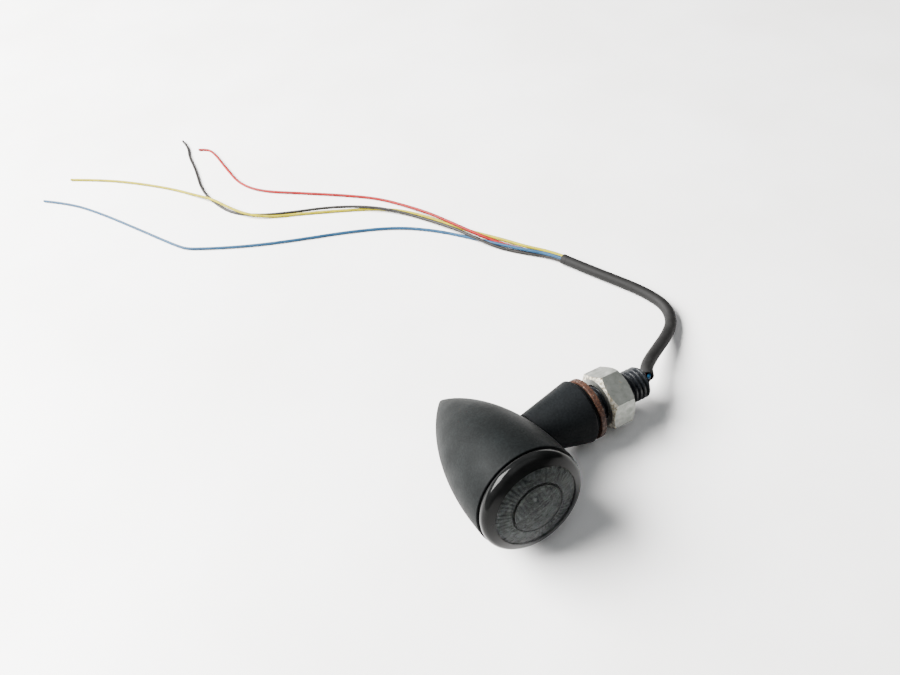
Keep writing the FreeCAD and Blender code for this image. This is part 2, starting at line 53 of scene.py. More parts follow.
# ---------------------------------------------------------------- camera
FOCAL_LENGTH = 30.41                                # mm
SENSOR_WIDTH = 36                                   # mm
CAMERA_PLACE = (-0.06813, -0.10746, 0.19113)        # m
CAMERA_AIM = (-0.00204, 0.05461, 0.0)               # a point on the floor among the wires, m
CAMERA_ROLL = math.radians(-9.64)


def add_camera():
    """Looks down across the lamp towards the wires, rolled a little clockwise."""
    data = bpy.data.cameras.new("camera")
    data.lens = FOCAL_LENGTH
    data.sensor_width = SENSOR_WIDTH
    camera = bpy.data.objects.new("camera", data)
    bpy.context.collection.objects.link(camera)
    place = Vector(CAMERA_PLACE)
    level = (Vector(CAMERA_AIM) - place).to_track_quat("-Z", "Y").to_matrix().to_4x4()
    camera.matrix_world = Matrix.Translation(place) @ level @ Matrix.Rotation(CAMERA_ROLL, 4, "Z")
    bpy.context.scene.camera = camera


# ---------------------------------------------------------------- material helpers
NOISE_LOW, NOISE_HIGH = 0.3, 0.7                    # nearly all of a noise lies between these


class Shader:
    """A node material under construction, with the few nodes that this scene uses."""

    def __init__(self, name, roughness=0.5, metallic=0.0, specular=0.5):
        self.material = bpy.data.materials.new(name)
        self.material.use_nodes = True
        self.tree = self.material.node_tree
        self.principled = self.tree.nodes["Principled BSDF"]
        self.principled.inputs["Roughness"].default_value = roughness
        self.principled.inputs["Metallic"].default_value = metallic
        self.principled.inputs["Specular IOR Level"].default_value = specular
        self.position = self.add("ShaderNodeTexCoord").outputs["Object"]

    def add(self, kind, **settings):
        node = self.tree.nodes.new(kind)
        for key, value in settings.items():
            setattr(node, key, value)
        return node

    def link(self, source, target):
        self.tree.links.new(source, target)

    def noise(self, feature_mm, detail=4.0, stretch=None):
        """Noise from 0 to 1 whose features are about this large."""
        node = self.add("ShaderNodeTexNoise")
        node.inputs["Scale"].default_value = 1.0 / (feature_mm * MM)
        node.inputs["Detail"].default_value = detail
        source = self.position
        if stretch:
            mapping = self.add("ShaderNodeMapping")
            mapping.inputs["Scale"].default_value = stretch
            self.link(source, mapping.inputs["Vector"])
            source = mapping.outputs["Vector"]
        self.link(source, node.inputs["Vector"])
        return node.outputs["Fac"]

    def ramp(self, source, stops):
        """A colour ramp; stops are (position, colour) with linear r, g, b."""
        node = self.add("ShaderNodeValToRGB")
        ramp = node.color_ramp
        while len(ramp.elements) < len(stops):
            ramp.elements.new(0.5)
        for element, (position, colour) in zip(ramp.elements, stops):
            element.position = position
            element.color = (*colour, 1.0)
        self.link(source, node.inputs["Fac"])
        return node.outputs["Color"]

    def two_tone(self, source, dark, light, low=NOISE_LOW, high=NOISE_HIGH):
        """A colour ramp from dark at low to light at high."""
        return self.ramp(source, [(low, dark), (high, light)])

    def levels(self, source, first, last, low=NOISE_LOW, high=NOISE_HIGH):
        """Maps low..high of the source to first..last, held at both ends."""
        node = self.add("ShaderNodeMapRange")
        sockets = ("From Min", "From Max", "To Min", "To Max")
        for socket, value in zip(sockets, (low, high, first, last)):
            node.inputs[socket].default_value = value
        self.link(source, node.inputs["Value"])
        return node.outputs["Result"]

    def mix(self, factor, first, second):
        node = self.add("ShaderNodeMix", data_type="RGBA")
        self.link(factor, node.inputs["Factor"])
        self.link(first, node.inputs["A"])
        self.link(second, node.inputs["B"])
        return node.outputs["Result"]

    def colour(self, source):
        self.link(source, self.principled.inputs["Base Color"])

    def roughness(self, source):
        self.link(source, self.principled.inputs["Roughness"])

    def bump(self, *layers):
        """Stacked bumps: each layer is (height source, depth in mm)."""
        normal = None
        for source, depth in layers:
            node = self.add("ShaderNodeBump")
            node.inputs["Strength"].default_value = 1.0
            node.inputs["Distance"].default_value = depth * MM
            self.link(source, node.inputs["Height"])
            if normal:
                self.link(normal, node.inputs["Normal"])
            normal = node.outputs["Normal"]
        self.link(normal, self.principled.inputs["Normal"])

    def set(self, **values):
        for key, value in values.items():
            self.principled.inputs[key.replace("_", " ")].default_value = value


def grey(value):
    return (value, value, value)


# ---------------------------------------------------------------- materials
# Noise features and bump depths are in mm; colours are linear r, g, b.
HANDLED = 1.35                                      # how much lighter a coat is where it is rubbed


def coated_black(name, dark, light, roughness):
    """Satin black coating: sandy grain, with faint cloudy handling marks."""
    shader = Shader(name, specular=0.055)
    grain = shader.noise(0.55, 3.0)
    cloud = shader.noise(7.0, 3.0)
    dark_rubbed, light_rubbed = (tuple(HANDLED * c for c in colour) for colour in (dark, light))
    sanded = shader.two_tone(grain, dark, light, 0.32, 0.68)
    rubbed = shader.two_tone(grain, dark_rubbed, light_rubbed, 0.32, 0.68)
    shader.colour(shader.mix(shader.levels(cloud, 0.0, 1.0, 0.35, 0.70), sanded, rubbed))
    shader.roughness(shader.levels(cloud, roughness + 0.04, roughness - 0.05))
    shader.bump((grain, 0.045), (shader.noise(0.18, 1.0), 0.010))
    return shader.material


def smoke_rim():
    """The moulded rim of the cap: glossy and nearly black."""
    shader = Shader("smoke_rim", specular=0.09)
    film = shader.noise(3.0, 2.0)
    shader.colour(shader.two_tone(film, (0.0030, 0.0032, 0.0032), (0.0050, 0.0052, 0.0052)))
    shader.roughness(shader.levels(shader.noise(1.2, 3.0), 0.07, 0.14))
    shader.bump((shader.noise(0.8, 2.0), 0.003))
    return shader.material


def smoke_window():
    """The smoked front of the cap; its low IOR keeps the pale floor's reflection faint."""
    shader = Shader("smoke_window", 0.05)
    shader.set(Transmission_Weight=1.0, IOR=1.085)
    film = shader.noise(3.0, 2.0)
    shader.colour(shader.two_tone(film, (0.52, 0.54, 0.54), (0.62, 0.645, 0.645)))
    shader.bump((shader.noise(1.5, 1.0), 0.002))
    return shader.material


def lens_optic():
    """The fluted underside of the cap, as it shows through the smoke."""
    shader = Shader("lens_optic", specular=0.10)
    shader.colour(shader.ramp(shader.noise(1.1, 4.0), [
        (0.30, (0.046, 0.048, 0.048)), (0.55, (0.092, 0.094, 0.094)), (0.78, (0.165, 0.167, 0.165)),
    ]))
    shader.roughness(shader.levels(shader.noise(0.5), 0.20, 0.40))
    shader.bump((shader.noise(0.3, 2.0), 0.02))
    return shader.material


def groove_painted_shade():
    """The groove between the fluted part and the ribbed middle: its near black colour is painted
    shade.
    """
    shader = Shader("groove_painted_shade", 0.45, specular=0.1)
    shader.colour(shader.two_tone(shader.noise(0.9, 3.0), grey(0.0010), grey(0.0025)))
    shader.bump((shader.noise(0.3, 2.0), 0.01))
    return shader.material


def moulded_spot():
    """The small pale mark in the optic's middle, where the moulding was fed."""
    shader = Shader("moulded_spot", 0.4, specular=0.2)
    shader.colour(shader.two_tone(shader.noise(0.4, 3.0), (0.10, 0.10, 0.098), (0.17, 0.17, 0.166)))
    shader.bump((shader.noise(0.2, 2.0), 0.02))
    return shader.material


def black_oxide():
    """The stud: black, slightly glossy on the crests of the thread, with dust in specks."""
    shader = Shader("black_oxide_thread", metallic=0.05, specular=0.25)
    speck = shader.noise(0.35, 5.0)
    shader.colour(shader.ramp(speck, [
        (0.35, (0.0035, 0.0042, 0.0055)), (0.62, (0.0090, 0.0105, 0.0125)),
        (0.80, (0.030, 0.030, 0.031)),
    ]))
    shader.roughness(shader.levels(speck, 0.24, 0.42))
    shader.bump((shader.noise(0.12, 3.0), 0.012))
    return shader.material


def rusty_steel():
    """Washer: granular copper-brown rust, worn to bright metal in specks."""
    shader = Shader("rusty_washer", metallic=0.15, specular=0.2)
    grain = shader.noise(0.55, 6.0)
    rust = shader.ramp(grain, [
        (0.25, (0.007, 0.0036, 0.0025)), (0.45, (0.024, 0.0105, 0.0065)),
        (0.60, (0.048, 0.021, 0.0125)), (0.78, (0.090, 0.047, 0.030)),
    ])
    bare = shader.two_tone(shader.noise(0.3, 2.0), (0.20, 0.16, 0.13), (0.36, 0.31, 0.27), 0.4, 0.7)
    specks = shader.levels(shader.noise(0.8, 8.0), 0.0, 0.5, 0.64, 0.70)
    shader.colour(shader.mix(specks, rust, bare))
    shader.roughness(shader.levels(grain, 0.72, 0.42))
    shader.bump((grain, 0.10), (shader.noise(0.15, 2.0), 0.03))
    return shader.material


def dull_zinc():
    """Nut: dull grey zinc, faintly mottled, with brown spots and fine scratches."""
    shader = Shader("dull_zinc", metallic=0.95)
    mottle = shader.noise(2.2, 6.0)
    scratch = shader.noise(0.35, 3.0, stretch=(0.12, 1.0, 1.0))
    zinc = shader.ramp(mottle, [
        (0.30, (0.16, 0.168, 0.153)), (0.50, (0.225, 0.234, 0.214)), (0.70, (0.30, 0.31, 0.287)),
    ])
    blotch = shader.noise(0.5, 4.0)
    stain = shader.two_tone(blotch, (0.17, 0.12, 0.07), (0.36, 0.28, 0.16), 0.4, 0.6)
    spots = shader.levels(shader.noise(1.1, 9.0), 0.0, 0.7, 0.66, 0.72)
    shader.colour(shader.mix(spots, zinc, stain))
    shader.roughness(shader.levels(mottle, 0.50, 0.36))
    shader.bump((scratch, 0.012), (shader.noise(0.2, 3.0), 0.010))
    return shader.material


def worn_zinc():
    """The nut's chamfer on the washer's side: chipped plating with bright and golden specks."""
    shader = Shader("worn_zinc", metallic=0.8)
    chips = shader.noise(0.9, 4.0)
    shader.colour(shader.ramp(chips, [
        (0.28, (0.045, 0.036, 0.026)), (0.42, (0.15, 0.13, 0.09)), (0.54, (0.34, 0.335, 0.30)),
        (0.66, (0.50, 0.44, 0.30)), (0.78, (0.80, 0.78, 0.72)),
    ]))
    shader.roughness(shader.levels(chips, 0.65, 0.25))
    shader.bump((chips, 0.12))
    return shader.material


def soft_plastic(name, dark, light, roughness, grain_mm=0.5):
    """Insulation, rubber or a moulded component: slightly uneven, with a faint dust film."""
    shader = Shader(name, specular=0.15)
    film = shader.noise(3.0, 4.0)
    shader.colour(shader.two_tone(film, dark, light, 0.35, 0.65))
    shader.roughness(shader.levels(film, roughness - 0.05, roughness + 0.08))
    shader.bump((shader.noise(grain_mm, 3.0), 0.015))
    return shader.material


def plated(name, colour, roughness):
    """Bright plated metal with faint clouding."""
    shader = Shader(name, roughness, metallic=1.0)
    pale = tuple(min(1.0, 1.15 * c) for c in colour)
    shader.colour(shader.two_tone(shader.noise(1.0, 3.0), colour, pale))
    shader.bump((shader.noise(0.2, 2.0), 0.004))
    return shader.material


def pale_surface():
    """Worktop: near white, with faint warm clouding."""
    shader = Shader("worktop", 0.45)
    cloud = shader.noise(60.0, 5.0)
    shader.colour(shader.two_tone(cloud, (0.80, 0.79, 0.775), (0.86, 0.855, 0.85), 0.35, 0.6))
    shader.bump((shader.noise(4.0, 4.0), 0.01))
    return shader.material


# ---------------------------------------------------------------- mesh helpers
WELD = 1e-5                                         # vertices closer than this are one, mm


def add_object(name, data, material):
    item = bpy.data.objects.new(name, data)
    bpy.context.collection.objects.link(item)
    data.materials.append(material)
    return item


def add_piece(name, shape, material, body, replaced=(), crease=35, place=POSE):
    """Links a bmesh built in mm, set down by a pose, as a piece that rides on a body.

    Edges sharper than the crease, in degrees, stay sharp.
    """
    bmesh.ops.remove_doubles(shape, verts=shape.verts, dist=WELD)
    bmesh.ops.recalc_face_normals(shape, faces=shape.faces)
    limit = math.radians(crease)
    for face in shape.faces:
        face.smooth = True
    for edge in shape.edges:
        edge.smooth = edge.calc_face_angle(0.0) < limit
    mesh = bpy.data.meshes.new(name)
    shape.to_mesh(mesh)
    shape.free()
    mesh.transform(place @ Matrix.Scale(MM, 4))
    item = add_object(name, mesh, material)
    if replaced:
        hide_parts(*replaced)
    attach(item, body)
    return item


def along_x(along, radius, angle):
    """A point at an angle round the stud axis; 0 is up and a quarter turn is towards the nose."""
    return Vector((along, radius * math.sin(angle), radius * math.cos(angle)))


def along_y(along, radius, angle):
    """A point at an angle round the housing's axis."""
    return Vector((radius * math.sin(angle), along, radius * math.cos(angle)))


def turned(profile, place, segments=192, closed=True, radius_at=None):
    """A bmesh turned from (along, radius) points; radius_at may vary the radius with the angle."""
    shape = bmesh.new()
    rings = []
    for step in range(segments):
        angle = 2 * math.pi * step / segments
        ring = []
        for along, radius in profile:
            if radius_at:
                radius = radius_at(along, radius, angle)
            ring.append(shape.verts.new(place(along, radius, angle)))
        rings.append(ring)
    count = len(profile)
    spans = range(count if closed else count - 1)
    for step in range(segments):
        here, there = rings[step], rings[(step + 1) % segments]
        for k in spans:
            shape.faces.new((here[k], here[(k + 1) % count], there[(k + 1) % count], there[k]))
    return shape


def from_seam(profile):
    """Moves a profile drawn from the lens seam to its place on the housing's axis."""
    return [(SEAM + along, radius) for along, radius in profile]


def softened(corners, steps=5):
    """A profile with rounded corners: corners are (along, radius, rounding)."""
    points = []
    count = len(corners)
    for index, (along, radius, rounding) in enumerate(corners):
        here = Vector((along, radius))
        if rounding <= 0:
            points.append(here)
            continue
        before = (Vector(corners[index - 1][:2]) - here).normalized()
        after = (Vector(corners[(index + 1) % count][:2]) - here).normalized()
        half = before.angle(after) / 2
        reach = rounding / math.tan(half)
        centre = here + (before + after).normalized() * (rounding / math.sin(half))
        first = here + before * reach - centre
        last = here + after * reach - centre
        turn = first.angle(last)
        for step in range(steps + 1):
            share = step / steps
            weight = (math.sin((1 - share) * turn), math.sin(share * turn))
            points.append(centre + (first * weight[0] + last * weight[1]) / math.sin(turn))
    return [(point.x, point.y) for point in points]


# ---------------------------------------------------------------- housing
# Profiles of the housing and lens are (along, radius), mm from the seam, positive towards the tip.
SEAM = -19.7                                        # y of the lens seam
HOUSING_RADIUS = 15.35
HOUSING_LENGTH = 48.6                               # seam to tip
HOUSING_STRAIGHT = 5.0                              # length of the cylindrical part at the seam
NOSE_RADIUS = 1.5                                   # rounding of the tip
MOUTH_RADIUS = 13.35                                # bore that takes the lens's spigot
MOUTH_DEPTH = 5.6                                   # where the mouth is closed, behind the optic
MOUTH_ROUND, SEAM_ROUND = 0.2, 0.28                 # roundings of the lip, inside and outside
OGIVE_STEPS, NOSE_STEPS = 64, 8


def ogive_profile():
    """The bullet's outside from the seam to the tip: one long arc, then the rounded nose."""
    reach = HOUSING_LENGTH - NOSE_RADIUS - HOUSING_STRAIGHT
    taper = HOUSING_RADIUS - NOSE_RADIUS
    ogive = (HOUSING_RADIUS ** 2 - NOSE_RADIUS ** 2 + reach ** 2) / (2 * taper)
    sweep = math.atan2(reach, ogive - HOUSING_RADIUS)
    points = []
    for step in range(OGIVE_STEPS + 1):
        angle = sweep * step / OGIVE_STEPS
        along = HOUSING_STRAIGHT + ogive * math.sin(angle)
        points.append((along, HOUSING_RADIUS - ogive + ogive * math.cos(angle)))
    for step in range(1, NOSE_STEPS + 1):
        angle = sweep + (math.pi / 2 - sweep) * step / NOSE_STEPS
        along = HOUSING_LENGTH - NOSE_RADIUS + NOSE_RADIUS * math.sin(angle)
        points.append((along, NOSE_RADIUS * math.cos(angle)))
    return points


def make_housing(material):
    lip = softened([
        (MOUTH_DEPTH, MOUTH_RADIUS, 0), (0.0, MOUTH_RADIUS, MOUTH_ROUND),
        (0.0, HOUSING_RADIUS, SEAM_ROUND), (HOUSING_STRAIGHT, HOUSING_RADIUS, 0),
    ])[:-1]
    profile = from_seam([(MOUTH_DEPTH, 0.0)] + lip + ogive_profile())
    shape = turned(profile, along_y, segments=256, closed=False)
    add_piece("housing_shell", shape, material, "lamp", ["housing"])


# ---------------------------------------------------------------- lens
CROWN = -6.1                                        # the cap's front at its middle
DOME = 34.6                                         # radius of the crowned front
CAP_RADIUS = 15.0
CAP_ROUND = 1.9                                     # rounding between the front and the side
CAP_ROUND_STEPS = 16
CAP_WALL = 1.2                                      # thickness of the rim where it meets the window
WINDOW_RADIUS = 12.0                                # here the smoked window gives way to the rim
WINDOW_THICK = 0.4
WINDOW_STEPS = 24
RIM_RADII = (WINDOW_RADIUS, 12.5, 13.0, 13.5)       # points on the rim's crowned front
SPIGOT_BORE = 12.5
# The cap's back: its softened edge, the shoulder on the gasket, and the spigot in the housing.
CAP_BACK = [
    (-0.85, CAP_RADIUS), (-0.68, 14.93), (-0.6, 14.75),
    (-0.6, 13.3), (2.0, 13.3), (2.0, SPIGOT_BORE),
]
GASKET_BACK, GASKET_FRONT, GASKET_RADIUS = -0.02, -0.58, 14.6

OPTIC_INSET = 0.85                                  # the optic lies this far behind the front
OPTIC_RINGS, OPTIC_RING = 121, 0.1                  # number of rings, and the step between them
OPTIC_SECTORS = 864
FLUTES_FROM = 7.6                                   # inner radius of the fluted part
FLUTE_HALVES = 27                                   # half the number of flutes
FLUTE_HEIGHT, FLUTE_FADE = 0.13, 0.5
RIBS_TO = 6.9                                       # outer radius of the ribbed middle
RIB_HEIGHT, RIB_FADE = 0.12, 0.4
RIB_TURN = math.radians(20)
CROSS_RIBS_BELOW = 1.5                              # below this line the ribs run the other way
RIB_PITCH, CROSS_RIB_PITCH = 1.1, 1.0
GROOVE_DEPTH = 0.2
SPOT_PLACE, SPOT_RADIUS = (-0.9, 3.9), 0.55


def front(radius, inset=0.0):
    """Where the crowned front is at a radius, or a parallel face inset behind it."""
    return CROWN + DOME - math.sqrt((DOME - inset) ** 2 - radius ** 2)


def make_lens(rim, window, optic, groove, spot, rubber):
    """The cap in three pieces, rim, window and optic, and the gasket behind it."""
    make_rim(rim)
    radii = [WINDOW_RADIUS * step / WINDOW_STEPS for step in range(WINDOW_STEPS + 1)]
    disc = [(front(radius), radius) for radius in radii]
    disc += [(front(radius, WINDOW_THICK), radius) for radius in reversed(radii)]
    shape = turned(from_seam(disc), along_y, segments=192, closed=False)
    add_piece("lens_window", shape, window, "lamp")
    make_optic(optic, groove, spot)
    ring = softened([
        (GASKET_FRONT, MOUTH_RADIUS, 0), (GASKET_FRONT, GASKET_RADIUS, 0),
        (GASKET_BACK, GASKET_RADIUS, 0), (GASKET_BACK, MOUTH_RADIUS, 0),
    ])
    shape = turned(from_seam(ring), along_y, segments=192)
    add_piece("lens_gasket", shape, rubber, "lamp", ["lens_seal"])


def make_rim(material):
    """The opaque part of the cap: the rim round the window, and the spigot."""
    reach = CAP_RADIUS - CAP_ROUND
    rim_depth = CROWN + DOME - math.sqrt((DOME - CAP_ROUND) ** 2 - reach ** 2)
    sweep = math.asin(reach / (DOME - CAP_ROUND))
    profile = [(front(radius), radius) for radius in RIM_RADII]
    for step in range(CAP_ROUND_STEPS + 1):
        angle = sweep + (math.pi / 2 - sweep) * step / CAP_ROUND_STEPS
        along = rim_depth - CAP_ROUND * math.cos(angle)
        profile.append((along, reach + CAP_ROUND * math.sin(angle)))
    wall = front(WINDOW_RADIUS, CAP_WALL)
    profile += CAP_BACK + [(wall, SPIGOT_BORE), (wall, WINDOW_RADIUS)]
    shape = turned(from_seam(profile), along_y, segments=256)
    add_piece("lens_cap", shape, material, "lamp", ["lens"])


def optic_relief(radius, angle):
    """Height of the optic's pattern: flutes round the outside, a groove, and ribs in the middle."""
    if radius > FLUTES_FROM:
        fade = min(1.0, (radius - FLUTES_FROM) / FLUTE_FADE)
        return FLUTE_HEIGHT * fade * math.sin(FLUTE_HALVES * angle) ** 2
    if radius > RIBS_TO:
        return -GROOVE_DEPTH
    across = radius * math.sin(angle + RIB_TURN)
    along = radius * math.cos(angle + RIB_TURN)
    wave = along / CROSS_RIB_PITCH if along < CROSS_RIBS_BELOW else across / RIB_PITCH
    return RIB_HEIGHT * math.sin(math.pi * wave) ** 2 * min(1.0, (RIBS_TO - radius) / RIB_FADE)


def make_optic(optic, groove, spot):
    """The patterned sheet behind the window, with its groove and feed mark painted by face; the
    groove's near black is painted shade.
    """
    shape = bmesh.new()
    grid = []
    for ring in range(OPTIC_RINGS):
        radius = ring * OPTIC_RING
        row = []
        for step in range(OPTIC_SECTORS):
            angle = 2 * math.pi * step / OPTIC_SECTORS
            height = front(radius, OPTIC_INSET) - optic_relief(radius, angle)
            row.append(shape.verts.new(along_y(SEAM + height, radius, angle)))
        grid.append(row)
    for inner, outer in zip(grid, grid[1:]):
        for step in range(OPTIC_SECTORS):
            after = (step + 1) % OPTIC_SECTORS
            shape.faces.new((inner[step], outer[step], outer[after], inner[after]))
    item = add_piece("lens_optic", shape, optic, "lamp", crease=80, place=Matrix())
    item.data.materials.append(groove)
    item.data.materials.append(spot)
    for face in item.data.polygons:
        across, up = face.center.x / MM, face.center.z / MM
        # the groove's faces get the near black of painted shade
        if RIBS_TO < math.hypot(across, up) < FLUTES_FROM:
            face.material_index = 1
        elif math.hypot(across - SPOT_PLACE[0], up - SPOT_PLACE[1]) < SPOT_RADIUS:
            face.material_index = 2
    item.data.transform(POSE)


# ---------------------------------------------------------------- arm, stud, washer, nut
# Profiles here are (along, radius) on the stud's axis, mm from the housing's axis; corners that get
# rounded have the rounding as a third number.
BORE_RADIUS = 5.05                                  # the arm's bore round the stud
SPIGOT_RADIUS = 8.3                                 # the step at the arm's end, under the washer
ARM_CORNERS = [
    (13.4, BORE_RADIUS, 0), (13.4, 6.07, 0), (29.8, 9.58, 0.45), (30.3, 9.15, 0.2),
    (30.3, SPIGOT_RADIUS, 0.05), (31.5, SPIGOT_RADIUS, 0.15), (31.5, BORE_RADIUS, 0),
]

THREAD_PITCH = 1.5
CREST_RADIUS = 5.0
THREAD_DEPTH = 0.90
CREST_SHARE, FLANK_SHARE = 0.22, 0.62               # of half a pitch: flat crest, then the flank
ROOT_SOFTNESS = 0.35                                # how far the flank eases into crest and root
STUD_FIRST, STUD_LAST = 30.9, 52.9
STUD_STEPS = 352
STUD_BORE = 2.9
STUD_BORE_CHAMFER = 0.25
STUD_BORE_RING = 47.4                               # a ring of vertices part way down the bore
STUD_END_RADIUS = 4.3                               # the thread's lead-in at the stud's end

WASHER_CORNERS = [(31.62, 5.35, 0.1), (31.62, 9.2, 0.14), (33.2, 9.2, 0.12), (33.2, 5.35, 0.1)]
WASHER_DROP = 0.3                                   # the loose washer hangs on the thread
WASHER_STEP = 0.25                                  # length of a mesh edge across its section
PITTING, PITTING_SCALE = 0.0016, 1.6                # depth as a share of the distance, and 1/mm

NUT_NEAR, NUT_FAR = 36.6, 44.6
NUT_FLATS = 16.0
NUT_CORNER_ROUND = 0.22
NUT_CORNER_ANGLE = math.radians(172.5)
NUT_BORE, NUT_MOUTH, NUT_MOUTH_DEPTH = 5.08, 5.55, 0.75
NUT_FACE = 6.4                                      # a ring on each end face, inside the chamfer
NUT_CHAMFER_FROM = 7.35                             # radius where the 30 degree chamfer starts
NUT_CHAMFER_SLOPE = 1.732
FINE_FROM, CHAMFER_DEPTH, CHAMFER_STEPS = 0.02, 1.3, 26     # rings close together at both ends
SIDE_FROM, SIDE_LENGTH, SIDE_STEPS = 1.6, 4.8, 8            # and further apart between them
ON_THE_SIDE = 9.9                                   # a radius that the hexagon and chamfer cut down
WORN_BAND, WORN_RAGGED = 0.14, 0.20                 # worn plating past the chamfer, and its edge
WORN_SCALE = 1.3                                    # 1/mm
WORN_FROM = 6.6                                     # the bore and its mouth are not worn


def make_arm(material):
    profile = softened(ARM_CORNERS, steps=8)
    add_piece("arm_cone", turned(profile, along_x, segments=224), material, "lamp", ["arm"])


def thread_radius(along, angle):
    """Outside of a right-hand M10x1.5 thread: flat crests, 60 degree flanks and rounded roots."""
    share = (along / THREAD_PITCH + angle / (2 * math.pi)) % 1.0
    height = abs(share - 0.5) * 2
    depth = min(1.0, max(0.0, (height - CREST_SHARE) / FLANK_SHARE))
    eased = depth * depth * (3 - 2 * depth) * ROOT_SOFTNESS + depth * (1.0 - ROOT_SOFTNESS)
    return CREST_RADIUS - THREAD_DEPTH * eased


def make_stud(material):
    profile = [
        (STUD_FIRST + (STUD_LAST - STUD_FIRST) * step / STUD_STEPS, CREST_RADIUS)
        for step in range(STUD_STEPS + 1)
    ]
    profile += [
        (STUD_LAST, STUD_BORE + STUD_BORE_CHAMFER), (STUD_LAST - STUD_BORE_CHAMFER, STUD_BORE),
        (STUD_BORE_RING, STUD_BORE), (STUD_FIRST, STUD_BORE),
    ]

    def shaped(along, radius, angle):
        if radius < STUD_END_RADIUS:
            return radius
        return min(thread_radius(along, angle), STUD_END_RADIUS + (STUD_LAST - along))

    shape = turned(profile, along_x, segments=144, radius_at=shaped)
    add_piece("stud_thread", shape, material, "lamp", ["threaded_stud"], crease=70)


def make_washer(material):
    """A rusty washer whose surface is slightly pitted, resting on the thread under its bore."""
    rounded = softened(WASHER_CORNERS, steps=4)
    profile = []
    for (x0, r0), (x1, r1) in zip(rounded, rounded[1:] + rounded[:1]):
        parts = max(1, int(math.hypot(x1 - x0, r1 - r0) / WASHER_STEP))
        profile += [(x0 + (x1 - x0) * k / parts, r0 + (r1 - r0) * k / parts) for k in range(parts)]
    shape = turned(profile, along_x, segments=288)
    for vert in shape.verts:
        vert.co *= 1.0 + PITTING * noise.noise(vert.co * PITTING_SCALE) - PITTING / 2
        vert.co.z -= WASHER_DROP
    add_piece("washer_rusted", shape, material, "washer", ["washer"], crease=60)


def hexagon_radius(angle):
    """Polar radius of the nut's hexagon, with slightly rounded corners, a corner at angle 0."""
    turn = (angle + math.pi / 6) % (math.pi / 3) - math.pi / 6
    reach = (NUT_FLATS / 2 - NUT_CORNER_ROUND) / math.cos(math.pi / 6)
    limit = math.atan2(NUT_CORNER_ROUND * 0.5, reach + NUT_CORNER_ROUND * math.cos(math.pi / 6))
    if abs(turn) < limit:
        offset = reach * math.sin(turn)
        return reach * math.cos(turn) + math.sqrt(NUT_CORNER_ROUND ** 2 - offset ** 2)
    return NUT_FLATS / 2 / math.cos(math.pi / 6 - abs(turn))


def make_nut(zinc, worn):
    """The hexagon nut, chamfered at both ends, with worn plating on the washer's side."""
    fine = [FINE_FROM + CHAMFER_DEPTH * k / CHAMFER_STEPS for k in range(CHAMFER_STEPS + 1)]
    side = [NUT_NEAR] + [NUT_NEAR + depth for depth in fine]
    side += [NUT_NEAR + SIDE_FROM + SIDE_LENGTH * k / SIDE_STEPS for k in range(SIDE_STEPS + 1)]
    side += [NUT_FAR - depth for depth in reversed(fine)] + [NUT_FAR]
    mouth = [(0.0, NUT_FACE), (0.0, NUT_MOUTH), (NUT_MOUTH_DEPTH, NUT_BORE)]
    profile = [(NUT_NEAR + depth, radius) for depth, radius in reversed(mouth)]
    profile += [(along, ON_THE_SIDE) for along in side]
    profile += [(NUT_FAR - depth, radius) for depth, radius in mouth]

    def shaped(along, radius, angle):
        if radius < ON_THE_SIDE:
            return radius
        cone = NUT_CHAMFER_FROM + NUT_CHAMFER_SLOPE * min(along - NUT_NEAR, NUT_FAR - along)
        return min(hexagon_radius(angle - NUT_CORNER_ANGLE), cone)

    shape = turned(profile, along_x, segments=360, radius_at=shaped)
    item = add_piece(
        "nut_body", shape, zinc, "nut", ["hex_nut"], crease=14, place=Matrix(),
    )
    item.data.materials.append(worn)
    for face in item.data.polygons:
        centre = face.center / MM
        radius = math.hypot(centre.y, centre.z)
        chamfer = NUT_NEAR + (radius - NUT_CHAMFER_FROM) / NUT_CHAMFER_SLOPE
        worn_to = chamfer + WORN_BAND + WORN_RAGGED * noise.noise(centre * WORN_SCALE)
        if radius > WORN_FROM and centre.x < min(worn_to, NUT_NEAR + CHAMFER_DEPTH):
            face.material_index = 1
    item.data.transform(POSE)


